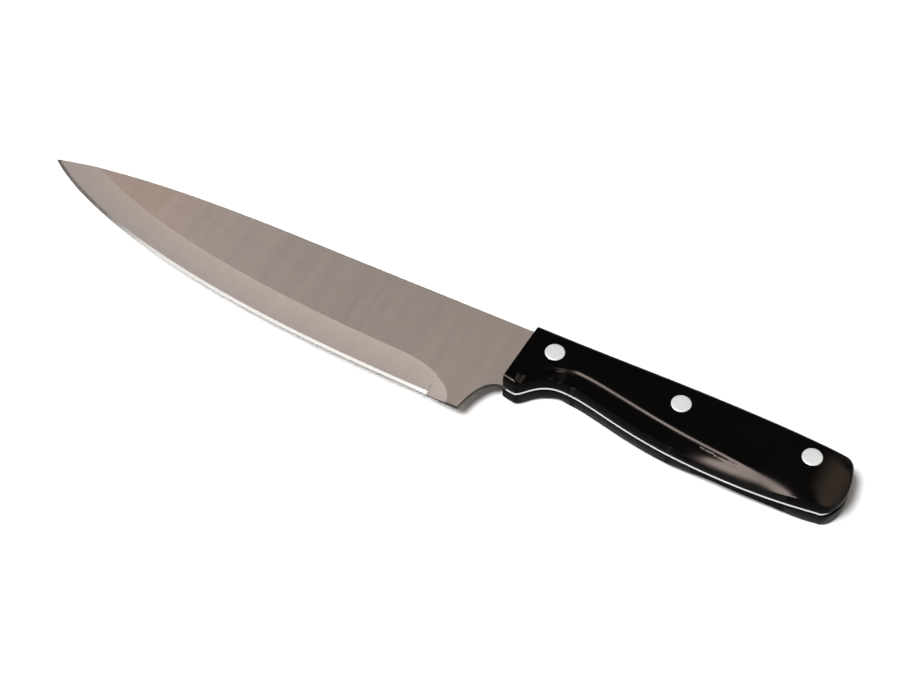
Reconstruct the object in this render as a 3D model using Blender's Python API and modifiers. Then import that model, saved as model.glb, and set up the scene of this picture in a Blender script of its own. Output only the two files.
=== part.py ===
"""A chef knife: one sheet-steel blade with a full tang, two moulded scales, three two-part rivets.

The knife lies on its right side. Pieces are drawn around the knife's own datum, an empty at the
handle's front face, on the spine line and in the middle of the sheet: X runs towards the butt,
Y from the edge towards the spine, and Z out of the left side.
"""

import math

import bmesh
import bpy
from mathutils import Matrix, Vector
from mathutils.geometry import interpolate_bezier

# Driving dimensions, in metres. Distances along the blade are from the tip or the heel, and those
# along the handle are from its front face or the butt. Depths are measured down from the spine.
BLADE_LENGTH = 0.2041
BLADE_HEIGHT = 0.0426
SHEET = 0.0015
TIP_DEPTH = 0.0088
SPINE_CURVE = 0.098        # length of the drooping front part of the spine
EDGE_KNEE = 0.084          # where the edge's curved front meets its long flat sweep, from the tip
EDGE_KNEE_RISE = 0.0067    # how far the knee lies above the heel
EDGE_KNEE_SLOPE = 0.145
SPINE_STOP = 0.0003        # the spine's corner lies this far ahead of the handle's front face
HEEL_SETBACK = 0.0117      # heel to the handle's front face

BEVEL_WIDTH = 0.0122       # hollow-ground band, square to the edge
BEHIND_EDGE = 0.00044      # sheet left at the foot of the hollow grind
HONE_WIDTH = 0.0013
HONE_THICKNESS = 0.0001
HONE_STOP = 0.0128         # the honed edge ends this far ahead of the heel
HONE_STEP = 0.0004         # steel that honing has taken off the edge
PLUNGE_STOP = 0.0046       # the hollow runs out to the edge this far ahead of the heel
PLUNGE_LENGTH = 0.0255

HANDLE_LENGTH = 0.1247
HANDLE_THICKNESS = 0.0134
NOSE_DEPTH = 0.0278
GROOVE_DEPTH = 0.0194
BELLY_DEPTH = 0.0279
TANG_INSET = 0.0008        # the tang ends this far inside the scales' butt
FRONT_DEPTH = 0.0271       # depth of the scales' front face
FRONT_LEAN = 0.0017        # the front face's foot lies this far ahead of its top
TOP_STEP = 0.0005          # the handle's top starts this far under the blade's spine
TOP_X = 0.060              # the highest point of the handle's top
TOP_DEPTH = 0.0002
NOSE_X = 0.0033
GROOVE_X = 0.0183
BELLY_X = 0.0863
RIM_ROUND = 0.0019

CREASE_START_DEPTH = 0.0234  # the crease is the line where a scale's flat breaks into its scoop
CREASE_TOP_DEPTH = 0.0133
CREASE_END_DEPTH = 0.0238
CREASE_TOP_X = 0.0213
SCOOP_START = 0.0020
SCOOP_FULL = 0.0058        # the scoop reaches its full depth this far behind the front face
SCOOP_END = 0.0215         # the scoop has faded out this far ahead of the butt
SCOOP_DROP = 0.0017
SCOOP_SHALLOW = 0.6        # share of the drop in the finger groove
SCOOP_DEEP_X = 0.045       # where the scoop is first at its full drop
SCOOP_FADE = 0.022         # length over which the drop fades out at the rear
CROWN_START = 0.045        # the cove turns into a crown from here to CROWN_END ahead of its end
CROWN_END = 0.012
SCOOP_OVER = 0.0004        # the scoop's cutter stands this far over the face at the crease
SCOOP_LIFT = 0.00004       # keeps the cutter off the face where the scoop has no depth
SCOOP_MIN_HEIGHT = 0.0005

RIVET_COUNT = 3
RIVET_FIRST = 0.0103
RIVET_LAST = 0.0160        # the rear rivet's middle, ahead of the butt
RIVET_DEPTH = 0.0089
RIVET_HEAD_RADIUS = 0.00367
RIVET_HEAD_HEIGHT = 0.0012
RIVET_SHANK_RADIUS = 0.0025
RIVET_WALL = 0.0007
RIVET_CHAMFER = 0.0002
HEAD_RECESS = 0.0001       # heads sit this far under the scales' faces

CLEARANCE = 0.0003         # between pieces that touch

# Sizes that follow from those above.
OVERALL_LENGTH = BLADE_LENGTH + HANDLE_LENGTH
HALF_SHEET = SHEET / 2
HALF_HANDLE = HANDLE_THICKNESS / 2
TIP_X = -BLADE_LENGTH
HEEL_X = -HEEL_SETBACK
BUTT_X = HANDLE_LENGTH
RIVET_PITCH = (HANDLE_LENGTH - RIVET_FIRST - RIVET_LAST) / (RIVET_COUNT - 1)
HOLE_RADIUS = RIVET_SHANK_RADIUS + CLEARANCE
COUNTERBORE_RADIUS = RIVET_HEAD_RADIUS + CLEARANCE
HEAD_TOP = HALF_HANDLE - HEAD_RECESS
HEAD_FOOT = HEAD_TOP - RIVET_HEAD_HEIGHT
CUT_OVER = 0.002           # cutters run this far past what they cut
RUN_OUT = 0.0005           # the wheel's path leaves the steel this far below the edge
WELD = 0.000002            # points closer than this are one
HONE_TURN = 0.00005        # length over which the hone comes off the edge
GRIND_OVER = 0.001         # the wheel's path runs this far past the grind line
GRIND_ROWS = 7
PLUNGE_STEPS = 12
SCOOP_STATIONS = 34
SCOOP_ROWS = 6
SCOOP_CROWDING = 1.5       # draws the scoop's sections together towards the front
RIM_STEPS = 4
CURVE_STEPS = 14           # points on each stretch of an outline
CIRCLE_STEPS = 32


def clear_scene():
    for item in list(bpy.data.objects):
        bpy.data.objects.remove(item, do_unlink=True)


def new_collection(name):
    collection = bpy.data.collections.new(name)
    bpy.context.scene.collection.children.link(collection)
    return collection


def new_material(name, colour, roughness, metallic):
    material = bpy.data.materials.new(name)
    material.use_nodes = True
    shader = material.node_tree.nodes["Principled BSDF"]
    shader.inputs["Base Color"].default_value = (*colour, 1.0)
    shader.inputs["Roughness"].default_value = roughness
    shader.inputs["Metallic"].default_value = metallic
    return material


clear_scene()
PARTS = new_collection("chef_knife")
CUTTERS = new_collection("cutters")
DATUM = bpy.data.objects.new("knife_datum", None)
DATUM.location = (BLADE_LENGTH - OVERALL_LENGTH / 2, BLADE_HEIGHT / 2, HALF_HANDLE)
PARTS.objects.link(DATUM)

STEEL = new_material("satin_steel", (0.42, 0.38, 0.34), 0.35, 1.0)
BLACK_PLASTIC = new_material("black_plastic", (0.012, 0.012, 0.013), 0.4, 0.0)
RIVET_METAL = new_material("rivet_metal", (0.82, 0.82, 0.80), 0.3, 1.0)


class Knot:
    """One point of an outline, with the offsets to its incoming and outgoing handles."""

    def __init__(self, x, depth, arrive=(0, 0), leave=(0, 0)):
        self.place = Vector((x, -depth, 0))
        self.arrive = self.place + Vector((*arrive, 0))
        self.leave = self.place + Vector((*leave, 0))


def sample(knots, steps=CURVE_STEPS):
    """The points along an open run of knots. A stretch without handles is straight."""
    points = [knots[0].place.copy()]
    for start, end in zip(knots, knots[1:]):
        if start.leave == start.place and end.arrive == end.place:
            points.append(end.place.copy())
        else:
            stretch = interpolate_bezier(start.place, start.leave, end.arrive, end.place, steps)
            points.extend(stretch[1:])
    return points


def handle_knots(butt_x):
    """The handle's rim, from the top of the front face round the butt to the face's foot."""
    return [
        Knot(0, TOP_STEP, leave=(0.025, -0.0003)),
        Knot(TOP_X, TOP_DEPTH, arrive=(-0.020, 0), leave=(0.030, 0)),
        Knot(butt_x - 0.0054, 0.0024, arrive=(-0.012, 0.0012), leave=(0.0024, -0.0004)),
        Knot(butt_x - 0.0009, 0.0080, arrive=(-0.0004, 0.0034), leave=(0.0010, -0.0058)),
        Knot(butt_x - 0.0030, 0.0240, arrive=(0.0040, 0.0050), leave=(-0.0010, -0.0010)),
        Knot(butt_x - 0.0063, 0.0255, arrive=(0.0012, -0.0002), leave=(-0.0058, -0.0008)),
        Knot(BELLY_X, BELLY_DEPTH, arrive=(0.0147, 0), leave=(-0.0408, 0)),
        Knot(GROOVE_X, GROOVE_DEPTH, arrive=(0.0146, 0), leave=(-0.0098, 0)),
        Knot(NOSE_X, NOSE_DEPTH, arrive=(0.0030, 0), leave=(-0.0020, 0)),
        Knot(-FRONT_LEAN, FRONT_DEPTH, arrive=(0.0016, -0.0002), leave=(-0.0055, -0.0002)),
    ]


def edge_knots():
    """The cutting edge, from the end of its honed part to the tip."""
    knee_depth = BLADE_HEIGHT - EDGE_KNEE_RISE
    return [
        Knot(HEEL_X - HONE_STOP, BLADE_HEIGHT - HONE_STEP, leave=(-0.034, 0.0007)),
        Knot(
            TIP_X + EDGE_KNEE,
            knee_depth,
            arrive=(0.034, -0.034 * EDGE_KNEE_SLOPE),
            leave=(-0.037, 0.037 * EDGE_KNEE_SLOPE),
        ),
        Knot(TIP_X, TIP_DEPTH, arrive=(0.0158, -0.0118), leave=(0.0198, 0.0052)),
    ]


def blade_knots():
    """The whole sheet, once round: tip, spine, butt, belly, choil, heel and edge."""
    edge = edge_knots()
    spine = Knot(TIP_X + SPINE_CURVE, 0, arrive=(-0.046, 0))
    spine_end = Knot(-SPINE_STOP, 0)
    heel = Knot(HEEL_X, BLADE_HEIGHT, arrive=(0.0014, 0.0091))
    hone_stop = Knot(HEEL_X - HONE_STOP, BLADE_HEIGHT)
    rim = handle_knots(BUTT_X - TANG_INSET)
    return [edge[-1], spine, spine_end, *rim, heel, hone_stop, *edge[:-1]]


def merged(mesh):
    """Welds a mesh's doubles and points its faces outwards."""
    shape = bmesh.new()
    shape.from_mesh(mesh)
    bmesh.ops.remove_doubles(shape, verts=shape.verts, dist=WELD)
    bmesh.ops.recalc_face_normals(shape, faces=shape.faces)
    shape.to_mesh(mesh)
    shape.free()
    return mesh


def sheet_from_outline(name, knots, low, high):
    """A flat plate between two heights, cut to a closed outline."""
    curve = bpy.data.curves.new(name, "CURVE")
    curve.dimensions = "2D"
    curve.fill_mode = "BOTH"
    curve.extrude = (high - low) / 2
    points = sample([*knots, knots[0]])[:-1]
    spline = curve.splines.new("POLY")
    spline.points.add(len(points) - 1)
    for corner, point in zip(spline.points, points):
        corner.co = (*point, 1)
    spline.use_cyclic_u = True
    outline = bpy.data.objects.new(name + "_outline", curve)
    CUTTERS.objects.link(outline)
    bpy.context.view_layer.update()
    evaluated = outline.evaluated_get(bpy.context.evaluated_depsgraph_get())
    mesh = bpy.data.meshes.new_from_object(evaluated)
    bpy.data.objects.remove(outline)
    mesh.transform(Matrix.Translation((0, 0, (low + high) / 2)))
    return merged(mesh)


def loft(name, rings):
    """A closed solid skinned over rings that all have the same number of points."""
    shape = bmesh.new()
    rows = [[shape.verts.new(point) for point in ring] for ring in rings]
    count = len(rows[0])
    for near, far in zip(rows, rows[1:]):
        for k in range(count):
            after = (k + 1) % count
            shape.faces.new((near[k], near[after], far[after], far[k]))
    shape.faces.new(reversed(rows[0]))
    shape.faces.new(rows[-1])
    mesh = bpy.data.meshes.new(name)
    shape.to_mesh(mesh)
    shape.free()
    return merged(mesh)


def mirrored(mesh):
    """The same solid on the knife's right side."""
    copy = mesh.copy()
    copy.transform(Matrix.Scale(-1, 4, (0, 0, 1)))
    copy.flip_normals()
    return copy


def cutter(name, mesh):
    item = bpy.data.objects.new(name, mesh)
    item.parent = DATUM
    item.hide_render = True
    item.display_type = "WIRE"
    CUTTERS.objects.link(item)
    return item


def part(name, mesh, material):
    item = bpy.data.objects.new(name, mesh)
    item.parent = DATUM
    item.data.materials.clear()
    item.data.materials.append(material)
    PARTS.objects.link(item)
    return item


def cut(item, tool):
    boolean = item.modifiers.new(tool.name, "BOOLEAN")
    boolean.operation = "DIFFERENCE"
    boolean.solver = "EXACT"
    boolean.object = tool


def smoothstep(low, high, value):
    share = min(max((value - low) / (high - low), 0), 1)
    return share * share * (3 - 2 * share)


def rivet_places():
    return [Vector((RIVET_FIRST + k * RIVET_PITCH, -RIVET_DEPTH, 0)) for k in range(RIVET_COUNT)]


def drill(name, radius, low, high):
    """Round cutters for all the rivets, as one object."""
    shape = bmesh.new()
    for place in rivet_places():
        centre = Matrix.Translation(place + Vector((0, 0, (low + high) / 2)))
        bmesh.ops.create_cone(
            shape,
            cap_ends=True,
            segments=CIRCLE_STEPS,
            radius1=radius,
            radius2=radius,
            depth=high - low,
            matrix=centre,
        )
    mesh = bpy.data.meshes.new(name)
    shape.to_mesh(mesh)
    shape.free()
    return cutter(name, mesh)


def hollow(below_line):
    """Half the sheet's thickness left by the grinding wheel, at a distance below the grind line."""
    share = min(below_line / BEVEL_WIDTH, 1)
    if share < 0:
        return HALF_SHEET - 2 * share * (HALF_SHEET - BEHIND_EDGE / 2)
    return HALF_SHEET - (HALF_SHEET - BEHIND_EDGE / 2) * (1 - (1 - share) ** 2)


def grind_ring(place, inward, width, honed):
    """One section of the wheel's path, square to the edge; width is the band's width there."""
    ring = []
    reach = [-CUT_OVER, 0, min(HONE_WIDTH, width)]
    hollow_rows = range(1, GRIND_ROWS + 1)
    reach += [reach[2] + (width - reach[2]) * k / GRIND_ROWS for k in hollow_rows]
    reach.append(width + GRIND_OVER)
    for distance in reach:
        height = hollow(width - max(distance, 0))
        if honed and distance < HONE_WIDTH / 2:
            height = HONE_THICKNESS / 2
        ring.append(place + inward * distance + Vector((0, 0, height)))
    ring.append(place + inward * (width + GRIND_OVER) + Vector((0, 0, SHEET)))
    ring.append(place - inward * CUT_OVER + Vector((0, 0, SHEET)))
    return ring


def grind_cutter():
    """What the wheel and the hone take off the left side: a band beside the edge, from beyond
    the tip to the plunge, where the band narrows in a quarter ellipse and runs out."""
    rings = []
    plunge_end = HEEL_X - PLUNGE_STOP
    hone_end = HEEL_X - HONE_STOP
    straight_inward = Vector((0, 1, 0))
    for k in range(PLUNGE_STEPS + 1):
        angle = math.pi / 2 * k / PLUNGE_STEPS
        x = plunge_end - PLUNGE_LENGTH * (1 - math.cos(angle))
        if x > hone_end:
            place = Vector((x, -BLADE_HEIGHT - RUN_OUT, 0))
            rings.append(grind_ring(place, straight_inward, band_width(x) + RUN_OUT, False))
    stop = Vector((hone_end + HONE_TURN, -BLADE_HEIGHT - RUN_OUT, 0))
    rings.append(grind_ring(stop, straight_inward, band_width(hone_end) + RUN_OUT, False))
    points = sample(edge_knots(), 2 * CURVE_STEPS)
    run = points + [points[-1] + (points[-1] - points[-2]).normalized() * CUT_OVER * 2]
    for k, place in enumerate(run):
        along = run[min(k + 1, len(run) - 1)] - run[max(k - 1, 0)]
        inward = Vector((-along.y, along.x, 0)).normalized()
        if inward.y < 0:
            inward.negate()
        rings.append(grind_ring(place, inward, band_width(place.x), True))
    return loft("grind_path", rings)


def band_width(x):
    """The hollow band's width: full along the blade, then a quarter ellipse at the plunge that
    ends just below the edge."""
    from_start = x - (HEEL_X - PLUNGE_STOP - PLUNGE_LENGTH)
    share = min(max(from_start / PLUNGE_LENGTH, 0), 1)
    return (BEVEL_WIDTH + RUN_OUT) * math.sqrt(1 - share * share) - RUN_OUT


def build_blade():
    mesh = sheet_from_outline("blade", blade_knots(), -HALF_SHEET, HALF_SHEET)
    blade = part("blade", mesh, STEEL)
    path = grind_cutter()
    cut(blade, cutter("grind_left", path))
    cut(blade, cutter("grind_right", mirrored(path)))
    cut(blade, drill("tang_holes", HOLE_RADIUS, -SHEET, SHEET))


def depth_at(points, x):
    """Depth of a run of points at a distance along the handle, in the order of rising x."""
    for near, far in zip(points, points[1:]):
        if near.x <= x <= far.x:
            share = (x - near.x) / max(far.x - near.x, 1e-9)
            return -(near.y + (far.y - near.y) * share)
    return -(points[0].y if x < points[0].x else points[-1].y)


def crease_points():
    """The line where the flat of a scale breaks into the scoop."""
    return sample(
        [
            Knot(SCOOP_START, CREASE_START_DEPTH, leave=(0.0055, 0.0044)),
            Knot(CREASE_TOP_X, CREASE_TOP_DEPTH, arrive=(-0.0073, 0), leave=(0.0118, 0)),
            Knot(BUTT_X - SCOOP_END, CREASE_END_DEPTH, arrive=(-0.046, 0.002)),
        ]
    )


def scoop_cutter():
    """The finger scoop of the left scale: a cove that eases into a rounded flank at the rear."""
    crease = crease_points()
    belly = list(reversed(sample(handle_knots(BUTT_X)[5:])))
    scoop_stop = BUTT_X - SCOOP_END
    rings = []
    for k in range(SCOOP_STATIONS + 1):
        share = (k / SCOOP_STATIONS) ** SCOOP_CROWDING
        x = SCOOP_START + (scoop_stop - SCOOP_START) * share
        drop = SCOOP_DROP * smoothstep(SCOOP_START, SCOOP_FULL, x)
        drop *= SCOOP_SHALLOW + (1 - SCOOP_SHALLOW) * smoothstep(GROOVE_X, SCOOP_DEEP_X, x)
        drop *= 1 - smoothstep(scoop_stop - SCOOP_FADE, scoop_stop, x)
        crown = smoothstep(scoop_stop - CROWN_START, scoop_stop - CROWN_END, x)
        top = depth_at(crease, x)
        foot = max(depth_at(belly, x), top + SCOOP_MIN_HEIGHT)
        ring = [Vector((x, -top + CUT_OVER / 2, HALF_HANDLE + SCOOP_OVER))]
        for row in range(SCOOP_ROWS + 1):
            down = row / SCOOP_ROWS
            cove = 1 - (1 - down) ** 2
            fall = drop * (cove * (1 - crown) + down * down * crown)
            height = HALF_HANDLE - fall + SCOOP_LIFT * (1 - drop / SCOOP_DROP)
            ring.append(Vector((x, -top + (top - foot) * down, height)))
        ring.append(Vector((x, -foot - CUT_OVER, ring[-1].z)))
        ring.append(Vector((x, -foot - CUT_OVER, HALF_HANDLE + CUT_OVER)))
        ring.append(Vector((x, -top + CUT_OVER / 2, HALF_HANDLE + CUT_OVER)))
        rings.append(ring)
    return loft("scoop", rings)


def round_outer_rim(mesh):
    """Rounds the outer face's rim, all but its front edge, which stays crisp against the blade."""
    shape = bmesh.new()
    shape.from_mesh(mesh)
    rim = []
    for edge in shape.edges:
        level = all(vert.co.z > HALF_HANDLE - 5 * WELD for vert in edge.verts)
        side = any(abs(face.normal.z) < 0.5 for face in edge.link_faces)
        front = all(vert.co.x < 5 * WELD for vert in edge.verts)
        if level and side and not front:
            rim.append(edge)
    bmesh.ops.bevel(
        shape,
        geom=rim,
        offset=RIM_ROUND,
        offset_type="OFFSET",
        segments=RIM_STEPS,
        profile=0.5,
        affect="EDGES",
        clamp_overlap=True,
    )
    shape.to_mesh(mesh)
    shape.free()
    return merged(mesh)


def build_scales():
    rim = handle_knots(BUTT_X)
    rim[-1].leave = rim[-1].place.copy()
    inner_face = HALF_SHEET + CLEARANCE
    mesh = sheet_from_outline("scale", rim, inner_face, HALF_HANDLE)
    round_outer_rim(mesh)
    scoop = scoop_cutter()
    seat = HEAD_FOOT - CLEARANCE
    for side, name in ((1, "left_scale"), (-1, "right_scale")):
        body = mesh.copy() if side > 0 else mirrored(mesh)
        scale = part(name, body, BLACK_PLASTIC)
        cut(scale, cutter(name + "_scoop", scoop if side > 0 else mirrored(scoop)))
        bore = sorted((0, side * HANDLE_THICKNESS))
        cut(scale, drill(name + "_holes", HOLE_RADIUS, *bore))
        step = sorted((side * seat, side * HANDLE_THICKNESS))
        cut(scale, drill(name + "_counterbores", COUNTERBORE_RADIUS, *step))


def turned(name, profile):
    """A solid of revolution about Z, from a profile of (radius, height) that runs down outside."""
    mesh = bpy.data.meshes.new(name)
    points = [(radius, 0, height) for radius, height in profile]
    mesh.from_pydata(points, [(k, k + 1) for k in range(len(points) - 1)], [])
    item = part(name, mesh, RIVET_METAL)
    screw = item.modifiers.new("turn", "SCREW")
    screw.axis = "Z"
    screw.angle = 2 * math.pi
    screw.steps = CIRCLE_STEPS
    screw.render_steps = CIRCLE_STEPS
    screw.use_merge_vertices = True
    screw.merge_threshold = WELD
    return item


def head_profile():
    return [
        (0, HEAD_TOP),
        (RIVET_HEAD_RADIUS - RIVET_CHAMFER, HEAD_TOP),
        (RIVET_HEAD_RADIUS, HEAD_TOP - RIVET_CHAMFER),
        (RIVET_HEAD_RADIUS, HEAD_FOOT),
    ]


def build_rivets():
    """Compression rivets: a tube with a head from the left, and a headed pin from the right."""
    far_head = -HEAD_FOOT
    tube_end = far_head + CLEARANCE
    bore_radius = RIVET_SHANK_RADIUS - RIVET_WALL
    pin_radius = bore_radius - CLEARANCE
    socket = head_profile() + [
        (RIVET_SHANK_RADIUS, HEAD_FOOT),
        (RIVET_SHANK_RADIUS, tube_end),
        (bore_radius, tube_end),
        (bore_radius, HEAD_FOOT),
        (0, HEAD_FOOT),
    ]
    pin = head_profile() + [
        (pin_radius, HEAD_FOOT),
        (pin_radius, tube_end + RIVET_CHAMFER),
        (pin_radius - RIVET_CHAMFER, tube_end),
        (0, tube_end),
    ]
    for name, place in zip(("front", "middle", "rear"), rivet_places()):
        turned(f"{name}_rivet_socket", socket).location = place
        plug = turned(f"{name}_rivet_pin", pin)
        plug.location = place
        plug.rotation_euler = (math.pi, 0, 0)


build_blade()
build_scales()
build_rivets()
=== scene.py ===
"""The looks of a chef knife: a satin steel blade, two black moulded scales and three rivets."""

import math

import bmesh
import bpy
import numpy as np
from mathutils import Matrix, Vector
from mathutils.geometry import delaunay_2d_cdt, interpolate_bezier
from mathutils.kdtree import KDTree


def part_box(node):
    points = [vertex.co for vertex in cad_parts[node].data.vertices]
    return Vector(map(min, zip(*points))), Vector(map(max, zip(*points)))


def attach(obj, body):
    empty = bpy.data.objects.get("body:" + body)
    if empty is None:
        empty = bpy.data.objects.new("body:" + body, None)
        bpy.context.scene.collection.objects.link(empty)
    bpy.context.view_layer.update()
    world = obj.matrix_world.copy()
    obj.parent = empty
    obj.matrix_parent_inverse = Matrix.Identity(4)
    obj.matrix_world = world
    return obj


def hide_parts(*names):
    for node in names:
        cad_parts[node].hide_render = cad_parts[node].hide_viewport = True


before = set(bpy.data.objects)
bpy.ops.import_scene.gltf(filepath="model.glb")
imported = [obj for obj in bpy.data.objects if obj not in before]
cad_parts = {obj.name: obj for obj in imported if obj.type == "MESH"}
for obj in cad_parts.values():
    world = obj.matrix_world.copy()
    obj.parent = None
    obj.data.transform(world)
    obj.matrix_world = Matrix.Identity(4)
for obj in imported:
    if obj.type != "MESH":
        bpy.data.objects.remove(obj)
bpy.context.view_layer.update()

# ---------------------------------------------------------------- the sheet: blade and tang
# One stamping of stainless sheet is the blade and, behind it, the full tang that carries the
# scales. Its outline is drawn once, in millimetres back from the front of the handle and down
# from the spine, and every other line on the steel is measured from that outline.

MM = 0.001
sheet_low, sheet_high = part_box("blade")
MID_Z = (sheet_low.z + sheet_high.z) / 2
SPINE_Y = sheet_high.y
HALF_SHEET = (sheet_high.z - sheet_low.z) / 2 / MM
BLADE_HEIGHT = (sheet_high.y - sheet_low.y) / MM
BLADE_LENGTH = 204.1
FRONT_X = sheet_low.x + BLADE_LENGTH * MM
TIP = -BLADE_LENGTH
HEEL = -11.7
HONE_STOP = HEEL - 12.8
PLUNGE_STOP = HEEL - 4.6
TANG_END = (sheet_high.x - FRONT_X) / MM
TANG_INSET = 0.8
BUTT = TANG_END + TANG_INSET


def place(x, depth, height):
    """A point of the knife: along it, down from the spine and out from the middle of the sheet."""
    return (FRONT_X + x * MM, SPINE_Y - depth * MM, MID_Z + height * MM)


def run(knots, steps):
    """Points along a line of knots. A knot is its (x, depth), the offset to the handle before it
    and the offset to the one after it, and a stretch that has neither handle is straight."""
    points = []
    for (start, _, leave), (end, arrive, _) in zip(knots, knots[1:]):
        a, b = Vector(start), Vector(end)
        if leave is None and arrive is None:
            count = max(2, round((b - a).length / 2))
            stretch = [a.lerp(b, k / count) for k in range(count + 1)]
        else:
            first = a + Vector(leave or (0, 0))
            second = b + Vector(arrive or (0, 0))
            stretch = [Vector(p[:2]) for p in interpolate_bezier(a, first, second, b, steps)]
        points.extend(stretch[1:] if points else stretch)
    return points


def handle_line(butt):
    """The rim of the handle, from the top of its front face round the butt to the face's foot."""
    return [
        ((0, 0.5), None, (25, 0.3)),
        ((60, 0.2), (-20, 0), (30, 0)),
        ((butt - 5.4, 2.4), (-12, -1.2), (2.4, 0.4)),
        ((butt - 0.9, 8.0), (-0.4, -3.4), (1.0, 5.8)),
        ((butt - 3.0, 24.0), (4.0, -5.0), (-1.0, 1.0)),
        ((butt - 6.3, 25.5), (1.2, 0.2), (-5.8, 0.8)),
        ((86.3, 27.9), (14.7, 0), (-40.8, 0)),
        ((18.3, 19.4), (14.6, 0), (-9.8, 0)),
        ((3.3, 27.8), (3.0, 0), (-2.0, 0)),
        ((-1.7, 27.1), (1.6, 0.2), None),
    ]


FOOT_LEAVE = (-5.5, 0.2)
KNEE_SLOPE = 0.145
EDGE = [
    ((HONE_STOP, BLADE_HEIGHT - 0.4), None, (-34, -0.7)),
    ((TIP + 84, BLADE_HEIGHT - 6.7), (34, 34 * KNEE_SLOPE), (-37, -37 * KNEE_SLOPE)),
    ((TIP, 8.8), (15.8, 11.8), (19.8, -5.2)),
]
spine_points = run([EDGE[-1], ((TIP + 98, 0), (-46, 0), None), ((-0.3, 0), None, None)], 90)
tang_points = run([((-0.3, 0), None, None), *handle_line(TANG_END)], 40)
choil = [(handle_line(TANG_END)[-1][0], None, FOOT_LEAVE), ((HEEL, BLADE_HEIGHT), (1.4, -9.1), None)]
choil_points = run(choil, 40)
edge_points = run(EDGE, 130)

# The ground bevel: a wheel run along each side hollows a band beside the edge and leaves a
# curved plunge at the heel, and the last millimetre is honed on a finer stone, which stops short
# of the heel. The band is a grid whose rows follow the edge, as the wheel's marks cross it.

BAND = 12.2
HONE = 1.3
BEHIND_EDGE = 0.22
EDGE_HALF = 0.015
RUN_OUT = 0.5
PLUNGE_LENGTH = 25.5
PLUNGE_STATIONS = 40
HOLLOW_ROWS = 18
RIM_BREAK = 0.2
TANG_BREAK = 0.3
HEEL_STEPS = 8
FLAT, HOLLOW, HONED, RIM, TANG_RIM = range(5)


def band_width(x):
    """Full width along the blade, then a quarter ellipse where the wheel leaves the steel."""
    share = min(max((x - (PLUNGE_STOP - PLUNGE_LENGTH)) / PLUNGE_LENGTH, 0), 1)
    return max((BAND + RUN_OUT) * math.sqrt(1 - share * share) - RUN_OUT, 0)


def hollow(below_line):
    """Half the steel left by the wheel, at a distance below the grind line."""
    share = min(max(below_line / BAND, 0), 1)
    return HALF_SHEET - (HALF_SHEET - BEHIND_EDGE) * (1 - (1 - share) ** 2)


def reach_to_spine(point, inward):
    """How far a line square to the edge runs before it meets the spine."""
    for a, b in zip(spine_points, spine_points[1:]):
        side = b - a
        cross = inward.x * side.y - inward.y * side.x
        if abs(cross) > 1e-9:
            gap = a - point
            far = (gap.x * side.y - gap.y * side.x) / cross
            along = (gap.x * inward.y - gap.y * inward.x) / cross
            if far > -1e-6 and -1e-6 <= along <= 1 + 1e-6:
                return max(far, 0)
    return math.inf


def edge_stations():
    """(point, inward direction, honed, run along the edge) from the plunge's end to the tip."""
    places = []
    for k in range(PLUNGE_STATIONS):
        x = PLUNGE_STOP - PLUNGE_LENGTH * (1 - math.cos(math.pi / 2 * k / PLUNGE_STATIONS))
        if x > HONE_STOP + RIM_BREAK:
            places.append((Vector((x, BLADE_HEIGHT)), False))
    places.append((Vector((HONE_STOP + RIM_BREAK / 2, BLADE_HEIGHT)), False))
    places += [(point, True) for point in edge_points]
    stations = []
    travelled = 0
    for k, (point, honed) in enumerate(places):
        inward = Vector((0, -1))
        if honed:
            ahead = places[min(k + 1, len(places) - 1)][0]
            back = places[k - 1][0] if places[k - 1][1] else point
            along = (ahead - back).normalized()
            inward = Vector((-along.y, along.x))
            inward *= -1 if inward.y > 0 else 1
        travelled += (point - places[max(k - 1, 0)][0]).length
        stations.append((point, inward, honed, travelled))
    return stations


def band_section(point, inward, honed, width, limit):
    """(point, half thickness, distance from the edge) across the band, from the edge inwards."""
    hone = min(HONE, limit)
    reach = [hone * k / 2 for k in range(3)]
    reach += [hone + (limit - hone) * k / HOLLOW_ROWS for k in range(1, HOLLOW_ROWS + 1)]
    section = []
    shoulder = hollow(width - HONE)
    for distance in reach:
        half = hollow(width - distance)
        if honed and distance < HONE:
            half = min(half, EDGE_HALF + (shoulder - EDGE_HALF) * distance / HONE)
        section.append((point + inward * distance, half, distance))
    return section


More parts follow.
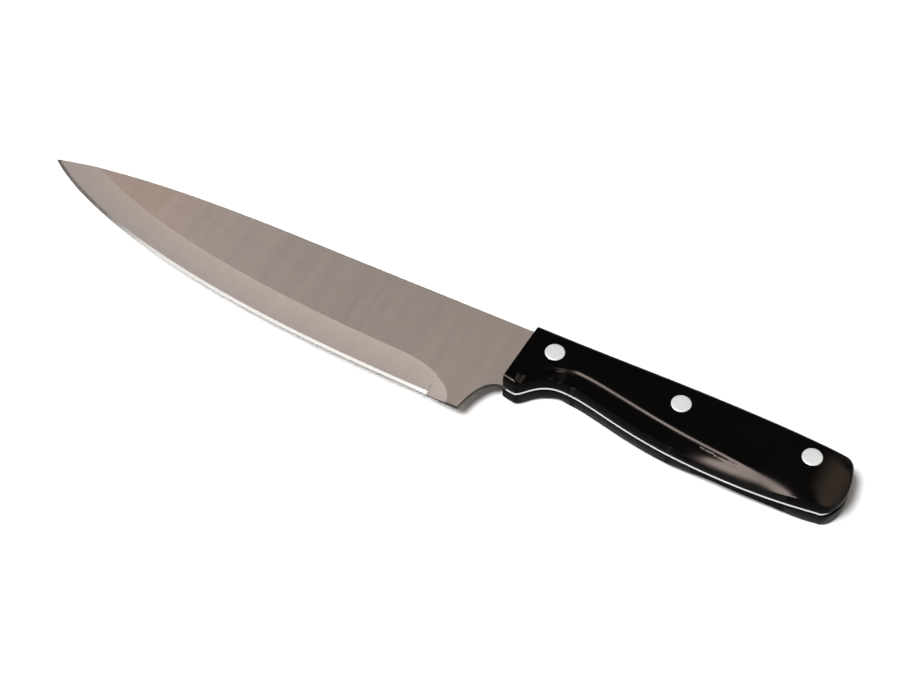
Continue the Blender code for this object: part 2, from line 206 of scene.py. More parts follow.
def build_sheet():
    """The whole stamping as one closed mesh, with each face's region as its material."""
    vertices, faces, regions, surface = [], [], [], []

    def vertex(point, height, along, across):
        vertices.append(place(point.x, point.y, height))
        surface.append((along * MM, across * MM))
        return len(vertices) - 1

    stations = edge_stations()
    widths = [band_width(point.x) for point, _, _, _ in stations]
    limits = [min(reach_to_spine(s[0], s[1]), width) for s, width in zip(stations, widths)]
    limits[-1] = 0
    cut_short = [limit < width - RIM_BREAK for limit, width in zip(limits, widths)]
    meets = cut_short.index(True)
    limits = [min(limit, limits[k - 1]) if k > meets else limit for k, limit in enumerate(limits)]
    sections = [band_section(*s[:3], width, limit) for s, width, limit in zip(stations, widths, limits)]
    join = sections[meets][-1][0]
    behind = [p for p in spine_points if p.x > join.x + RIM_BREAK]
    outline = [join] + behind + tang_points[1:] + choil_points[1:]
    plunge_end = stations[0][0]
    heel = outline[-1]
    outline += [heel.lerp(plunge_end, k / HEEL_STEPS) for k in range(1, HEEL_STEPS)]
    inset, walls = [], []
    for k, point in enumerate(outline):
        along = (outline[min(k + 1, len(outline) - 1)] - outline[max(k - 1, 0)]).normalized()
        broken = TANG_BREAK if point.x > 0 else RIM_BREAK
        inset.append(point + Vector((-along.y, along.x)) * broken)
        walls.append(HALF_SHEET - broken)
    rims = []
    for side in (1, -1):
        grid = []
        for section, station in zip(sections, stations):
            grid.append([vertex(p, side * half, station[3], far) for p, half, far in section])
        for k in range(len(grid) - 1):
            for row in range(len(grid[0]) - 1):
                faces.append((grid[k][row], grid[k + 1][row], grid[k + 1][row + 1], grid[k][row + 1]))
                regions.append(HONED if stations[k][2] and row < 2 else HOLLOW)
        outer = [vertex(p, side * wall, p.x, p.y) for p, wall in zip(outline, walls)]
        inner = [vertex(p, side * HALF_SHEET, p.x, p.y) for p in inset]
        outer[0] = inner[0] = grid[meets][-1]
        outer.append(grid[0][0])
        inner.append(grid[0][0])
        for k in range(len(outline)):
            corners = (outer[k], outer[k + 1], inner[k + 1], inner[k])
            faces.append(tuple(dict.fromkeys(corners)))
            regions.append(RIM)
        faces.append(inner + [grid[k][-1] for k in range(1, meets)])
        regions.append(FLAT)
        short_of_spine = [grid[k][-1] for k in range(len(grid) - 1, meets, -1)]
        rims.append(short_of_spine + outer + [grid[k][0] for k in range(1, len(grid))])
    for k in range(len(rims[0])):
        after = (k + 1) % len(rims[0])
        faces.append((rims[0][k], rims[1][k], rims[1][after], rims[0][after]))
        regions.append(TANG_RIM if vertices[rims[0][k]][0] > FRONT_X else RIM)
    mesh = bpy.data.meshes.new("blade_steel")
    mesh.from_pydata(vertices, [], faces)
    layer = mesh.uv_layers.new(name="surface")
    for loop in mesh.loops:
        layer.data[loop.index].uv = surface[loop.vertex_index]
    mesh.polygons.foreach_set("material_index", regions)
    return mesh


WELD = 1e-6
CREASE_ANGLE = math.radians(38)


def closed(mesh, materials):
    """Welds a mesh, points its faces outwards and gives it its materials."""
    for material in materials:
        mesh.materials.append(material)
    shape = bmesh.new()
    shape.from_mesh(mesh)
    bmesh.ops.remove_doubles(shape, verts=shape.verts, dist=WELD)
    bmesh.ops.dissolve_degenerate(shape, dist=WELD, edges=shape.edges)
    bmesh.ops.recalc_face_normals(shape, faces=shape.faces)
    shape.to_mesh(mesh)
    shape.free()
    return mesh


def finished(name, mesh):
    """Creases a closed mesh where it turns sharply and puts it in the scene."""
    shape = bmesh.new()
    shape.from_mesh(mesh)
    bmesh.ops.remove_doubles(shape, verts=shape.verts, dist=WELD)
    bmesh.ops.dissolve_degenerate(shape, dist=WELD, edges=shape.edges)
    for edge in shape.edges:
        kinds = {face.material_index for face in edge.link_faces}
        edge.smooth = len(kinds) == 1 and edge.calc_face_angle(0) < CREASE_ANGLE
    for face in shape.faces:
        face.smooth = True
    shape.to_mesh(mesh)
    shape.free()
    item = bpy.data.objects.new(name, mesh)
    bpy.context.scene.collection.objects.link(item)
    return item


RIVET_DEPTH = 8.9
RIVET_FIRST = 10.3
RIVET_PITCH = 49.2
RIVET_COUNT = 3
SHANK = 2.5
HEAD = 3.67
BORE_GAP = 0.12
CIRCLE = 48


def bored(name, mesh, radius, low, high):
    """The mesh with round holes at the rivets, through the heights from low to high."""
    drill = bmesh.new()
    for k in range(RIVET_COUNT):
        centre = place(RIVET_FIRST + k * RIVET_PITCH, RIVET_DEPTH, (low + high) / 2)
        bmesh.ops.create_cone(
            drill,
            cap_ends=True,
            segments=CIRCLE,
            radius1=radius * MM,
            radius2=radius * MM,
            depth=abs(high - low) * MM,
            matrix=Matrix.Translation(centre),
        )
    drill_mesh = bpy.data.meshes.new("drill")
    drill.to_mesh(drill_mesh)
    drill.free()
    tool = bpy.data.objects.new("drill", drill_mesh)
    blank = bpy.data.objects.new(name + "_blank", mesh)
    for item in (tool, blank):
        bpy.context.scene.collection.objects.link(item)
    cut = blank.modifiers.new("bores", "BOOLEAN")
    cut.operation = "DIFFERENCE"
    cut.solver = "EXACT"
    cut.object = tool
    evaluated = blank.evaluated_get(bpy.context.evaluated_depsgraph_get())
    result = bpy.data.meshes.new_from_object(evaluated)
    bpy.data.objects.remove(blank)
    bpy.data.objects.remove(tool)
    return result


class Shading:
    """A Principled material and the few node shorthands that its pattern needs."""

    def __init__(self, name, colour, roughness, metallic):
        self.material = bpy.data.materials.new(name)
        self.material.use_nodes = True
        self.tree = self.material.node_tree
        self.shader = self.tree.nodes["Principled BSDF"]
        self.set("Base Color", (*colour, 1))
        self.set("Roughness", roughness)
        self.set("Metallic", metallic)

    def set(self, socket, value):
        self.shader.inputs[socket].default_value = value

    def node(self, kind, **settings):
        made = self.tree.nodes.new(kind)
        for key, value in settings.items():
            setattr(made, key, value)
        return made

    def link(self, source, target):
        self.tree.links.new(source, target)

    def coordinates(self, scale, uv=None, centre=(0, 0, 0)):
        if uv is None:
            source = self.node("ShaderNodeTexCoord").outputs["Object"]
        else:
            source = self.node("ShaderNodeUVMap", uv_map=uv).outputs["UV"]
        mapping = self.node("ShaderNodeMapping", vector_type="POINT")
        mapping.inputs["Scale"].default_value = scale
        mapping.inputs["Location"].default_value = [-c * s for c, s in zip(centre, scale)]
        self.link(source, mapping.inputs["Vector"])
        return mapping.outputs["Vector"]

    def noise(self, vector, scale=1, detail=2, roughness=0.5):
        made = self.node("ShaderNodeTexNoise")
        made.inputs["Scale"].default_value = scale
        made.inputs["Detail"].default_value = detail
        made.inputs["Roughness"].default_value = roughness
        self.link(vector, made.inputs["Vector"])
        return made.outputs["Fac"]

    def spread(self, value, low, high, to_low=0, to_high=1, smooth=False):
        made = self.node("ShaderNodeMapRange")
        made.interpolation_type = "SMOOTHSTEP" if smooth else "LINEAR"
        ends = {"From Min": low, "From Max": high, "To Min": to_low, "To Max": to_high}
        for socket, number in ends.items():
            made.inputs[socket].default_value = number
        self.link(value, made.inputs["Value"])
        return made.outputs["Result"]

    def times(self, a, b):
        made = self.node("ShaderNodeMath", operation="MULTIPLY")
        self.link(a, made.inputs[0])
        if isinstance(b, (int, float)):
            made.inputs[1].default_value = b
        else:
            self.link(b, made.inputs[1])
        return made.outputs[0]

    def plus(self, a, b):
        made = self.node("ShaderNodeMath", operation="ADD")
        self.link(a, made.inputs[0])
        if isinstance(b, (int, float)):
            made.inputs[1].default_value = b
        else:
            self.link(b, made.inputs[1])
        return made.outputs[0]

    def axis(self, vector, name):
        made = self.node("ShaderNodeSeparateXYZ")
        self.link(vector, made.inputs[0])
        return made.outputs[name]

    def mix(self, share, a, b):
        made = self.node("ShaderNodeMix", data_type="RGBA")
        colours = [socket for socket in made.inputs if socket.type == "RGBA"]
        for socket, value in zip(colours, (a, b)):
            if isinstance(value, tuple):
                socket.default_value = (*value, 1)
            else:
                self.link(value, socket)
        self.link(share, made.inputs["Factor"])
        return [socket for socket in made.outputs if socket.type == "RGBA"][0]

    def bump(self, height, distance, strength=1.0):
        made = self.node("ShaderNodeBump")
        made.inputs["Distance"].default_value = distance
        made.inputs["Strength"].default_value = strength
        self.link(height, made.inputs["Height"])
        self.link(made.outputs["Normal"], self.shader.inputs["Normal"])

    def colour(self, output):
        self.link(output, self.shader.inputs["Base Color"])

    def roughness(self, output):
        self.link(output, self.shader.inputs["Roughness"])


# Satin finish of the flats: a crosswise brushed grain under a thin lacquer of haze, lighter
# towards the tip and darker towards the rear, with straw-brown clouds near the tip.


def flat_steel():
    steel = Shading("flat_steel", (0.45, 0.38, 0.335), 0.5, 1)
    brushed = steel.noise(steel.coordinates((2600, 70, 70)), detail=3)
    bands = steel.noise(steel.coordinates((200, 14, 14)), detail=3)
    cloud = steel.noise(steel.coordinates((30, 42, 42)), detail=3, roughness=0.6)
    along = steel.axis(steel.coordinates((1, 1, 1)), "X")
    tip_x = FRONT_X + TIP * MM
    onset = steel.spread(along, tip_x + 0.010, tip_x + 0.032, 0, 1, smooth=True)
    fading = steel.spread(along, tip_x + 0.040, tip_x + 0.085, 1, 0, smooth=True)
    straw = steel.times(steel.times(onset, fading), steel.spread(cloud, 0.3, 0.7, 0.35, 1))
    rear = steel.spread(along, tip_x + 0.02, tip_x + 0.15, 0, 1, smooth=True)
    base = steel.mix(rear, (0.505, 0.43, 0.395), (0.40, 0.34, 0.31))
    tinted = steel.mix(straw, base, (0.515, 0.385, 0.31))
    streaks = steel.plus(steel.times(brushed, 0.45), steel.times(bands, 0.55))
    hazed = steel.mix(steel.spread(streaks, 0.35, 0.65, 0.0, 0.16), tinted, (0.36, 0.31, 0.28))
    steel.colour(hazed)
    steel.roughness(steel.spread(streaks, 0.3, 0.7, 0.50, 0.56))
    steel.bump(brushed, 0.000004, 0.5)
    return steel.material


def hollow_steel():
    steel = Shading("hollow_steel", (0.5, 0.45, 0.41), 0.5, 1)
    marks = steel.noise(steel.coordinates((2700, 110, 1), uv="surface"), detail=3, roughness=0.6)
    groups = steel.noise(steel.coordinates((240, 30, 1), uv="surface"), detail=2)
    surface = steel.coordinates((1, 1, 1), uv="surface")
    to_line = steel.spread(steel.axis(surface, "Y"), 0.002, BAND * MM, 0, 1, smooth=True)
    to_tip = steel.spread(steel.axis(surface, "X"), 0.10, 0.17, 0, 1, smooth=True)
    base = steel.mix(to_line, (0.545, 0.475, 0.44), (0.505, 0.43, 0.39))
    scored = steel.plus(steel.times(marks, 0.65), steel.times(groups, 0.35))
    depth = steel.plus(steel.times(to_tip, 0.24), 0.16)
    score = steel.times(steel.spread(scored, 0.40, 0.62, 0, 1), depth)
    steel.colour(steel.mix(score, base, (0.33, 0.28, 0.255)))
    steel.roughness(steel.spread(scored, 0.3, 0.7, 0.47, 0.54))
    steel.bump(marks, 0.00001, 0.6)
    return steel.material


def honed_steel():
    steel = Shading("honed_steel", (0.8, 0.79, 0.77), 0.45, 1)
    surface = steel.coordinates((1, 1, 1), uv="surface")
    marks = steel.noise(steel.coordinates((1500, 300, 1), uv="surface"), detail=2)
    to_tip = steel.spread(steel.axis(surface, "X"), 0.125, 0.165, 0, 1, smooth=True)
    # Painted shade: the honed bevel is bright along the edge and coloured near black towards the tip,
    # where its bright line ends.
    painted_shade_to_tip = steel.mix(to_tip, (0.74, 0.72, 0.70), (0.16, 0.14, 0.13))
    steel.colour(steel.mix(steel.spread(marks, 0.35, 0.65, 0, 0.3), painted_shade_to_tip, (0.42, 0.38, 0.36)))
    steel.roughness(steel.spread(marks, 0.3, 0.7, 0.4, 0.5))
    return steel.material


def rim_steels():
    """The blade's stamped walls, and the broken edges all round the sheet, are left dull and coloured
    near black, a painted shade; the tang's walls are polished with the handle.
    """
    for name, colour, dull, bright in (
        # The stamped rim's near-black colour is a painted shade on the blade's walls and edge breaks.
        ("stamped_rim_painted_shade", (0.035, 0.032, 0.03), 0.4, 0.55),
        ("polished_tang_rim", (0.62, 0.61, 0.6), 0.3, 0.42),
    ):
        steel = Shading(name, colour, dull, 1)
        marks = steel.noise(steel.coordinates((900, 900, 4000)), detail=2)
        steel.roughness(steel.spread(marks, 0.3, 0.7, dull, bright))
        steel.bump(marks, 0.00001, 0.5)
        yield steel.material


finishes = [flat_steel(), hollow_steel(), honed_steel(), *rim_steels()]
sheet_mesh = closed(build_sheet(), finishes)
sheet_mesh = bored("blade_steel", sheet_mesh, SHANK + BORE_GAP, -2 * HALF_SHEET, 2 * HALF_SHEET)
blade_steel = finished("blade_steel", sheet_mesh)
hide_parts("blade")
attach(blade_steel, "root")

# ---------------------------------------------------------------- the scales
# Two black moulded scales clamp the tang. Each has a rounded rim, a crease along its side over a
# scooped finger groove that eases into a full flank at the rear, and a face that falls away at
# the butt. They are moulded in a fine satin tool, and sit a hair off the steel.

_, scale_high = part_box("left_scale")
FACE = (scale_high.z - MID_Z) / MM
SEAM = 0.12
INNER = HALF_SHEET + SEAM
SEAM_BREAK = 0.25
RIM_RADIUS = 1.9
WALL_ROUND = 0.12
CRISP_START, CRISP_FULL = BUTT - 43, BUTT - 33
RIM_TURNS = 7
BUTT_FALL = 2.2
BUTT_FALL_START = 110.0
BUTT_FALL_DEPTH = 9.0
SCOOP_START = 2.0
SCOOP_FULL = 5.8
SCOOP_STOP = BUTT - 21.5
SCOOP_FADE = SCOOP_STOP - 30
FOLD_STOP = SCOOP_STOP - 25
SCOOP_DROP = 1.05
LIP_RADIUS = 3.4
LIP_SLOPE = math.radians(46)
LIP_START = LIP_RADIUS * math.sin(math.radians(26))
LIP_END = LIP_RADIUS * math.sin(LIP_SLOPE)
GROOVE = 17.0
GROOVE_REACH = 4.5
GROOVE_DROP = 1.5
GROOVE_EASE = 0.6
FLANK_START, FLANK_FULL = 58.0, 82.0
FLANK_FADE, FLANK_END = 96.0, 120.0
FLANK_WIDTH = 7.0
FLANK_DROP = 2.9
RIM_SPACING, RIM_GAP = 0.8, 0.25
FOLD_SPACING, FOLD_GAP = 0.4, 0.3
CREASE_ROWS = (-1.5, -1.1, -0.75, -0.4, -0.1, 0.2, 0.5, 0.76, 1.3, 1.7, 2.3)
PLAN_PITCH = 0.9
PLAN_ROWS = 32
PLAN_GAP = 0.16
RIM_CLEARANCE = 0.04
HEAD_SEAT = 1.3
HEAD_RECESS = 0.1

rim_points = run(handle_line(BUTT), 60)
butt_knots = handle_line(BUTT)
crease_line = run(
    [
        ((SCOOP_START, 23.4), None, (5.5, -4.4)),
        ((21.3, 13.3), (-7.3, 0), (11.8, 0)),
        ((SCOOP_STOP, 23.8), (-46.0, -2.0), None),
    ],
    120,
)
belly_line = sorted(run(butt_knots[5:], 80), key=lambda p: p.x)
CREASE_X, CREASE_DEPTH = np.array([p[:] for p in crease_line]).T
BELLY_X, BELLY_DEPTH = np.array([p[:] for p in belly_line]).T


def smoothstep(low, high, value):
    share = np.clip((value - low) / (high - low), 0, 1)
    return share * share * (3 - 2 * share)


def distance_to_rim(points):
    """How far inside the rounded rim each point lies. The crisp front face doesn't count."""
    line = np.array([p[:] for p in rim_points])
    starts, sides = line[:-1], np.diff(line, axis=0)
    gap = points[:, None, :] - starts[None]
    along = np.clip((gap * sides).sum(2) / (sides**2).sum(1), 0, 1)
    return np.linalg.norm(gap - along[..., None] * sides, axis=2).min(1)


def lip_fall(run):
    """Fall below the lip's start, as a share of the scoop's depth: a round lip that steepens as
    it drops, down to the hard corner of the scoop's level floor."""
    turned = np.sqrt(LIP_RADIUS**2 - np.clip(run, 0, LIP_END) ** 2)
    return (LIP_RADIUS - turned) / (LIP_RADIUS * (1 - math.cos(LIP_SLOPE)))


def face_height(points):
    """Height of a scale's moulded face above the middle of the sheet."""
    x, depth = points.T
    crease = np.interp(x, CREASE_X, CREASE_DEPTH)
    belly = np.interp(x, BELLY_X, BELLY_DEPTH)
    share = np.clip((depth - crease) / np.maximum(belly - crease, 0.5), 0, 1)
    scooped = smoothstep(SCOOP_START, SCOOP_FULL, x) * (1 - smoothstep(SCOOP_FADE, SCOOP_STOP, x))
    groove = 1 - smoothstep(0, GROOVE_REACH, np.abs(x - GROOVE))
    lip = SCOOP_DROP * lip_fall(depth - crease + LIP_START)
    fall = scooped * (lip * (1 - GROOVE_EASE * groove) + GROOVE_DROP * share * groove)
    full = smoothstep(FLANK_START, FLANK_FULL, x) * (1 - smoothstep(FLANK_FADE, FLANK_END, x))
    full = full * smoothstep(10, 14, depth)
    flank = FLANK_DROP * np.clip(1 - (belly - depth) / FLANK_WIDTH, 0, 1) ** 2
    butt = np.clip((x - BUTT_FALL_START) / (BUTT - BUTT_FALL_START), 0, 1)
    crisp_butt = smoothstep(CRISP_START, CRISP_FULL, x) * smoothstep(5, 11, depth)
    sharp = np.maximum(scooped * smoothstep(12, 16, depth), crisp_butt)
    radius = RIM_RADIUS + (WALL_ROUND - RIM_RADIUS) * sharp
    rounding = np.clip(radius - distance_to_rim(points), 0, radius)
    rim = radius - np.sqrt(np.maximum(radius**2 - rounding**2, 0))
    butt_fall = BUTT_FALL * butt**2 * smoothstep(0, BUTT_FALL_DEPTH, depth)
    return FACE - fall - butt_fall - rim * (1 - full) - flank * full


def spaced(points, gap):
    """The points, from the first, that lie at least a gap from every one kept before them."""
    kept = []
    tree = KDTree(len(points))
    for k, point in enumerate(points):
        tree.insert((*point, 0), k)
    tree.balance()
    dropped = set()
    for k, point in enumerate(points):
        if k not in dropped:
            kept.append(k)
            dropped.update(i for _, i, _ in tree.find_range((*point, 0), gap) if i > k)
    return [points[k] for k in kept]


def resampled(line, spacing):
    """A closed line's corners, at most a spacing apart."""
    result = []
    for a, b in zip(line, line[1:] + line[:1]):
        count = max(1, math.ceil((b - a).length / spacing))
        result += [a.lerp(b, k / count) for k in range(count)]
    return result


def build_scale(side):
    """One scale: its face over a triangulated plan, its walls, and its flat inner face."""
    outline = [Vector(p) for p in spaced([tuple(p) for p in resampled(rim_points, RIM_SPACING)], RIM_GAP)]
    count = len(outline)
    inwards = []
    for k, point in enumerate(outline):
        along = (outline[(k + 1) % count] - outline[k - 1]).normalized()
        inwards.append(Vector((-along.y, along.x)))
    inner_rows = []
    for turn in range(1, RIM_TURNS + 1):
        reach = RIM_RADIUS * (1 - math.cos(math.pi / 2 * turn / RIM_TURNS))
        inner_rows.append((reach, [p + n * reach for p, n in zip(outline, inwards)]))
    plan = []
    for reach, row in inner_rows:
        places = np.array([p[:] for p in row])
        clear = distance_to_rim(places) > reach * 0.97
        plan += [tuple(p) for p, good in zip(places.tolist(), clear) if good]
    corner = [Vector((x, d + LIP_END - LIP_START)) for x, d in zip(CREASE_X, CREASE_DEPTH)]
    way_back = math.ceil((corner[-1] - corner[0]).length / FOLD_SPACING)
    corner = resampled(corner, FOLD_SPACING)[:-way_back]
    corner = [p for p in corner if SCOOP_FULL < p.x < FOLD_STOP]
    corner = spaced([tuple(p) for p in corner], FOLD_GAP)
    plan = corner + plan
    for x, depth in zip(CREASE_X, CREASE_DEPTH):
        plan += [(x, depth + row) for row in CREASE_ROWS]
    for k in range(int(BUTT / PLAN_PITCH) + 1):
        for j in range(PLAN_ROWS):
            plan.append((k * PLAN_PITCH + (j % 2) * PLAN_PITCH / 2 - 1.5, j * PLAN_PITCH + 0.5))
    ring = np.array([p[:] for p in outline])
    places = np.array(plan)
    ahead = np.roll(ring, -1, axis=0)
    crosses = (ring[None, :, 1] > places[:, None, 1]) != (ahead[None, :, 1] > places[:, None, 1])
    rise = np.where(ahead[:, 1] == ring[:, 1], 1, ahead[:, 1] - ring[:, 1])
    meet = ring[:, 0] + (places[:, None, 1] - ring[:, 1]) / rise * (ahead[:, 0] - ring[:, 0])
    inside = (crosses & (places[:, None, 0] < meet)).sum(1) % 2 == 1
    clear = distance_to_rim(places) > RIM_CLEARANCE
    plan = [tuple(p) for p in places[inside & clear].tolist()]
    plan = spaced(plan, PLAN_GAP)
    corners = [Vector(p) for p in [tuple(p) for p in outline] + plan]
    loop = list(range(count))
    held = range(count, count + len(corner) - 1)
    folds = [(k, k + 1) for k in held if (corners[k + 1] - corners[k]).length < 1]
    corners, _, triangles, _, _, _ = delaunay_2d_cdt(corners, folds, [loop], 1, 1e-5)
    flat_plan = np.array([p[:] for p in corners])
    heights = face_height(flat_plan)
    vertices = [place(x, d, side * h) for (x, d), h in zip(flat_plan.tolist(), heights.tolist())]
    faces = [tuple(triangle) for triangle in triangles]
    foot = len(vertices)
    vertices += [place(p.x, p.y, side * (INNER + SEAM_BREAK)) for p in outline]
    seat = len(vertices)
    inset = [p + n * SEAM_BREAK for p, n in zip(outline, inwards)]
    vertices += [place(p.x, p.y, side * INNER) for p in inset]
    for k in range(count):
        after = (k + 1) % count
        faces.append((k, after, foot + after, foot + k))
        faces.append((foot + k, foot + after, seat + after, seat + k))
    faces.append(tuple(range(seat, seat + count)))
    mesh = bpy.data.meshes.new("scale")
    mesh.from_pydata(vertices, [], faces)
    return closed(mesh, [scale_plastic])


# Fine satin moulding: near black, with a painted warm cast on what it mirrors. The walls are sanded
# flush with the tang; their shine is cut the more they face sideways, a painted shade.


def moulded_black():
    plastic = Shading("moulded_black", (0.0012, 0.0011, 0.0011), 0.22, 0)
    # Painted warm cast: the specular tint colours the moulding's reflections warm.
    plastic.set("Specular Tint", (1, 0.82, 0.75, 1))
    # Painted shade: the shine drops from the faces' level to a small one where the surface faces
    # sideways, darkening the walls.
    up = plastic.axis(plastic.node("ShaderNodeTexCoord").outputs["Normal"], "Z")
    level = plastic.spread(plastic.times(up, up), 0.1, 0.6, 0.02, 0.13)
    plastic.link(level, plastic.shader.inputs["Specular IOR Level"])
    spark = plastic.noise(plastic.coordinates((2600, 2600, 2600)), detail=2)
    haze = plastic.noise(plastic.coordinates((60, 90, 90)), detail=3)
    plastic.roughness(plastic.spread(haze, 0.3, 0.7, 0.18, 0.24))
    plastic.bump(spark, 0.000006, 0.5)
    return plastic.material


scale_plastic = moulded_black()
for side, node in ((1, "left_scale"), (-1, "right_scale")):
    shell = build_scale(side)
    shell = bored(node, shell, SHANK + BORE_GAP, 0, side * 2 * FACE)
    shell = bored(node, shell, HEAD + BORE_GAP, side * (FACE - HEAD_SEAT), side * 2 * FACE)
    scale = finished(node + "_moulding", shell)
    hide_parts(node)
    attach(scale, "root")

# ---------------------------------------------------------------- the rivets
# Three two-part compression rivets hold the scales: a headed tube from the left takes a headed
# pin from the right. They are turned from aluminium and driven flush, so their heads show only
# as satin discs with faint turning rings, each in a thin dark ring of shadow.

FAR_END = 0.3
HEAD_HEIGHT = 1.2
HEAD_BREAK = 0.15
HEAD_DOME = 0.03
WALL = 0.7
PIN_GAP = 0.3
HEAD_TOP = FACE - HEAD_RECESS
HEAD_FOOT = HEAD_TOP - HEAD_HEIGHT
TUBE_END = FAR_END - HEAD_FOOT
BORE = SHANK - WALL


def rivet_tree(material):
    """Turns a half profile about its axis and sets the turned piece out along a row."""
    tree = bpy.data.node_groups.new("rivet_row", "GeometryNodeTree")
    face = tree.interface
    face.new_socket("Profile", in_out="INPUT", socket_type="NodeSocketGeometry")
    face.new_socket("Count", in_out="INPUT", socket_type="NodeSocketInt")
    face.new_socket("First", in_out="INPUT", socket_type="NodeSocketVector")
    face.new_socket("Pitch", in_out="INPUT", socket_type="NodeSocketVector")
    face.new_socket("Sides", in_out="INPUT", socket_type="NodeSocketInt")
    face.new_socket("Rivets", in_out="OUTPUT", socket_type="NodeSocketGeometry")

    def node(kind, **settings):
        made = tree.nodes.new(kind)
        for key, value in settings.items():
            setattr(made, key, value)
        return made

    def link(source, target):
        tree.links.new(source, target)

    source, result = node("NodeGroupInput"), node("NodeGroupOutput")
    lathe = node("GeometryNodeCurvePrimitiveCircle", mode="RADIUS")
    lathe.inputs["Radius"].default_value = MM
    outline = node("GeometryNodeMeshToCurve")
    turned = node("GeometryNodeCurveToMesh")
    weld = node("GeometryNodeMergeByDistance")
    weld.inputs["Distance"].default_value = WELD
    position = node("GeometryNodeInputPosition")
    keep = node("GeometryNodeStoreNamedAttribute", data_type="FLOAT_VECTOR", domain="POINT")
    keep.inputs["Name"].default_value = "turning"
    row = node("GeometryNodeMeshLine", mode="OFFSET")
    spread = node("GeometryNodeInstanceOnPoints")
    solid = node("GeometryNodeRealizeInstances")
    finish = node("GeometryNodeSetMaterial")
    finish.inputs["Material"].default_value = material
    link(source.outputs["Sides"], lathe.inputs["Resolution"])
    link(source.outputs["Profile"], outline.inputs["Mesh"])
    link(lathe.outputs["Curve"], turned.inputs["Curve"])
    link(outline.outputs["Curve"], turned.inputs["Profile Curve"])
    link(turned.outputs["Mesh"], weld.inputs["Geometry"])
    link(weld.outputs["Geometry"], keep.inputs["Geometry"])
    link(position.outputs["Position"], keep.inputs["Value"])
    link(source.outputs["Count"], row.inputs["Count"])
    link(source.outputs["First"], row.inputs["Start Location"])
    link(source.outputs["Pitch"], row.inputs["Offset"])
    link(row.outputs["Mesh"], spread.inputs["Points"])
    link(keep.outputs["Geometry"], spread.inputs["Instance"])
    link(spread.outputs["Instances"], solid.inputs["Geometry"])
    link(solid.outputs["Geometry"], finish.inputs["Geometry"])
    link(finish.outputs["Geometry"], result.inputs["Rivets"])
    return tree


def satin_aluminium():
    metal = Shading("satin_aluminium", (0.8, 0.8, 0.8), 0.5, 0.35)
    turning = metal.node("ShaderNodeAttribute", attribute_name="turning")
    flat = metal.node("ShaderNodeVectorMath", operation="MULTIPLY")
    flat.inputs[1].default_value = (1, 1, 0)
    metal.link(turning.outputs["Vector"], flat.inputs[0])
    radius = metal.node("ShaderNodeVectorMath", operation="LENGTH")
    metal.link(flat.outputs["Vector"], radius.inputs[0])
    rings = metal.node("ShaderNodeTexNoise", noise_dimensions="1D")
    rings.inputs["Scale"].default_value = 4200
    rings.inputs["Detail"].default_value = 2
    metal.link(radius.outputs["Value"], rings.inputs["W"])
    marks = metal.spread(rings.outputs["Fac"], 0.3, 0.7, 0, 1)
    metal.colour(metal.mix(marks, (0.62, 0.62, 0.62), (0.53, 0.53, 0.527)))
    metal.roughness(metal.spread(marks, 0, 1, 0.42, 0.55))
    metal.bump(marks, 0.000008, 0.5)
    return metal.material


rivet_finish = satin_aluminium()
rivet_row = rivet_tree(rivet_finish)
head_profile = [
    (0, HEAD_TOP + HEAD_DOME),
    (HEAD * 0.35, HEAD_TOP + HEAD_DOME * 0.85),
    (HEAD * 0.7, HEAD_TOP + HEAD_DOME * 0.45),
    (HEAD - HEAD_BREAK, HEAD_TOP - HEAD_DOME * 0.2),
    (HEAD - HEAD_BREAK * 0.3, HEAD_TOP - HEAD_BREAK * 0.5),
    (HEAD, HEAD_TOP - HEAD_BREAK * 1.4),
    (HEAD, HEAD_FOOT),
]
socket_profile = head_profile + [
    (SHANK, HEAD_FOOT),
    (SHANK, TUBE_END),
    (BORE, TUBE_END),
    (BORE, HEAD_FOOT),
    (0, HEAD_FOOT),
]
pin_profile = head_profile + [
    (BORE - PIN_GAP, HEAD_FOOT),
    (BORE - PIN_GAP, TUBE_END + PIN_GAP),
    (0, TUBE_END + PIN_GAP),
]


def rivet_row_piece(name, profile, side):
    """One side's three rivet halves, turned and set out by the tree, as one plain mesh."""
    points = [(radius * MM - MM, height * MM * side, 0) for radius, height in profile]
    mesh = bpy.data.meshes.new(name + "_profile")
    mesh.from_pydata(points, [(k, k + 1) for k in range(len(points) - 1)], [])
    item = bpy.data.objects.new(name + "_profile", mesh)
    bpy.context.scene.collection.objects.link(item)
    modifier = item.modifiers.new("rivets", "NODES")
    modifier.node_group = rivet_row
    settings = {
        "Count": RIVET_COUNT,
        "First": place(RIVET_FIRST, RIVET_DEPTH, 0),
        "Pitch": (RIVET_PITCH * MM, 0, 0),
        "Sides": CIRCLE,
    }
    for socket in rivet_row.interface.items_tree:
        if socket.name in settings:
            modifier[socket.identifier] = settings[socket.name]
    evaluated = item.evaluated_get(bpy.context.evaluated_depsgraph_get())
    made = bpy.data.meshes.new_from_object(evaluated)
    item.modifiers.remove(modifier)
    bpy.data.objects.remove(item)
    return finished(name, closed(made, []))


for side, kind, profile in ((1, "socket", socket_profile), (-1, "pin", pin_profile)):
    rivets = rivet_row_piece(f"rivet_{kind}s", profile, side)
    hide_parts(*[f"{where}_rivet_{kind}" for where in ("front", "middle", "rear")])
    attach(rivets, "root")

# ---------------------------------------------------------------- the studio
# A pale table under one bright soft box, above and a little in front of the knife, with a weak
# warm lamp behind it, in a dim room with a light wall all round. The camera looks down from the
# front right.

FLOOR = 6.0
floor_mesh = bpy.data.meshes.new("floor")
floor_corners = [(-FLOOR, -FLOOR, 0), (FLOOR, -FLOOR, 0), (FLOOR, FLOOR, 0), (-FLOOR, FLOOR, 0)]
floor_mesh.from_pydata(floor_corners, [], [(0, 1, 2, 3)])
floor = bpy.data.objects.new("floor", floor_mesh)
bpy.context.scene.collection.objects.link(floor)
table = Shading("table_white", (0.88, 0.88, 0.88), 0.9, 0)
table.set("Specular IOR Level", 0.0)
floor_mesh.materials.append(table.material)

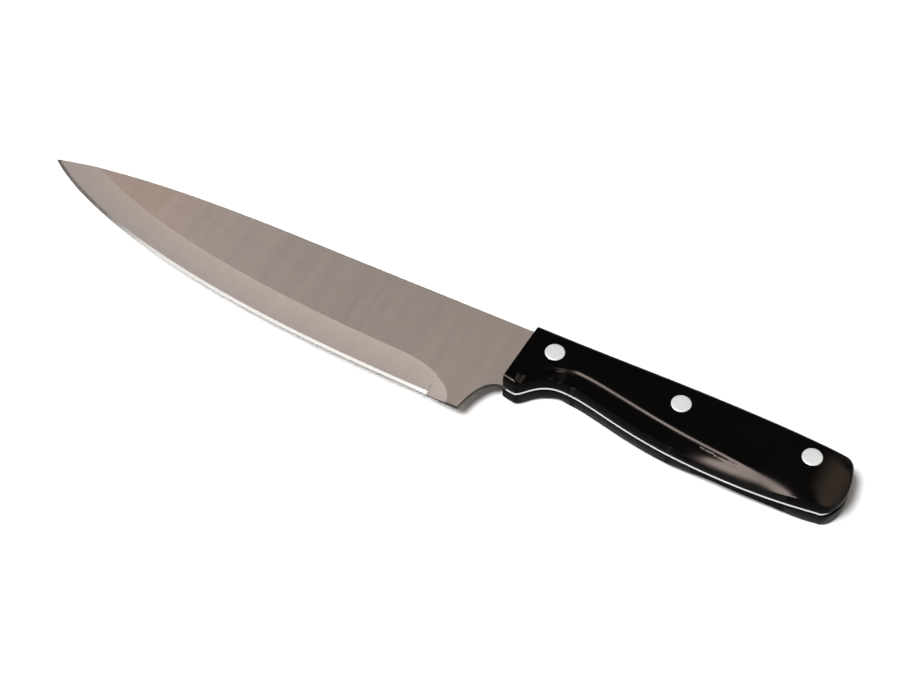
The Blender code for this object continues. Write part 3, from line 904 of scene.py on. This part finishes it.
world = bpy.data.worlds.new("studio")
bpy.context.scene.world = world
world.use_nodes = True
nodes, links = world.node_tree.nodes, world.node_tree.links
BOX_TOWARDS = Vector((-0.27, -0.36, 0.89)).normalized()
BOX_RADIANCE = 30.0
BOX_RIM, BOX_CORE = math.radians(16), math.radians(9)
LAMP_TOWARDS = Vector((0.24, 0.53, 0.81)).normalized()
LAMP_RADIANCE = 3.0
LAMP_RIM = math.radians(15)
LAMP_WARMTH = (1, 0.88, 0.74, 1)
WALL_TOP, ROOM_START = 0.25, 0.5
WALL_RADIANCE, ROOM_RADIANCE = 0.8, 0.05
direction = nodes.new("ShaderNodeTexCoord").outputs["Generated"]
facing = nodes.new("ShaderNodeVectorMath")
facing.operation = "DOT_PRODUCT"
facing.inputs[1].default_value = BOX_TOWARDS
links.new(direction, facing.inputs[0])
box = nodes.new("ShaderNodeMapRange")
box.interpolation_type = "SMOOTHSTEP"
box.inputs["From Min"].default_value = math.cos(BOX_RIM)
box.inputs["From Max"].default_value = math.cos(BOX_CORE)
box.inputs["To Max"].default_value = BOX_RADIANCE
links.new(facing.outputs["Value"], box.inputs["Value"])
lamp_facing = nodes.new("ShaderNodeVectorMath")
lamp_facing.operation = "DOT_PRODUCT"
lamp_facing.inputs[1].default_value = LAMP_TOWARDS
links.new(direction, lamp_facing.inputs[0])
lamp = nodes.new("ShaderNodeMapRange")
lamp.interpolation_type = "SMOOTHSTEP"
lamp.inputs["From Min"].default_value = math.cos(LAMP_RIM)
lamp.inputs["From Max"].default_value = 1
lamp.inputs["To Max"].default_value = LAMP_RADIANCE
links.new(lamp_facing.outputs["Value"], lamp.inputs["Value"])
height = nodes.new("ShaderNodeSeparateXYZ")
links.new(direction, height.inputs[0])
wall = nodes.new("ShaderNodeMapRange")
wall.interpolation_type = "SMOOTHSTEP"
wall.inputs["From Min"].default_value = WALL_TOP
wall.inputs["From Max"].default_value = ROOM_START
wall.inputs["To Min"].default_value = WALL_RADIANCE
wall.inputs["To Max"].default_value = ROOM_RADIANCE
links.new(height.outputs["Z"], wall.inputs["Value"])
total = nodes.new("ShaderNodeMath")
links.new(box.outputs["Result"], total.inputs[0])
links.new(wall.outputs["Result"], total.inputs[1])
links.new(total.outputs[0], nodes["Background"].inputs["Strength"])
nodes["Background"].inputs["Color"].default_value = (1, 1, 1, 1)
warm = nodes.new("ShaderNodeBackground")
warm.inputs["Color"].default_value = LAMP_WARMTH
links.new(lamp.outputs["Result"], warm.inputs["Strength"])
both = nodes.new("ShaderNodeAddShader")
links.new(nodes["Background"].outputs[0], both.inputs[0])
links.new(warm.outputs[0], both.inputs[1])
links.new(both.outputs[0], nodes["World Output"].inputs["Surface"])

AZIMUTH, ELEVATION, ROLL = math.radians(27.33), math.radians(53.43), math.radians(-0.18)
DISTANCE = 0.7454
camera_data = bpy.data.cameras.new("camera")
camera_data.sensor_width = 36
camera_data.lens = 81.9
camera_data.clip_start = 0.01
camera = bpy.data.objects.new("camera", camera_data)
bpy.context.scene.collection.objects.link(camera)
aim = Vector(place(-23.25, 21.14, FACE))
away = Vector((math.sin(AZIMUTH), -math.cos(AZIMUTH), math.tan(ELEVATION))).normalized()
camera.location = aim + away * DISTANCE
level = Matrix.Rotation(AZIMUTH, 3, "Z") @ Matrix.Rotation(math.pi / 2 - ELEVATION, 3, "X")
camera.rotation_euler = (level @ Matrix.Rotation(ROLL, 3, "Z")).to_euler()
bpy.context.scene.camera = camera
bpy.context.scene.view_settings.view_transform = "Standard"
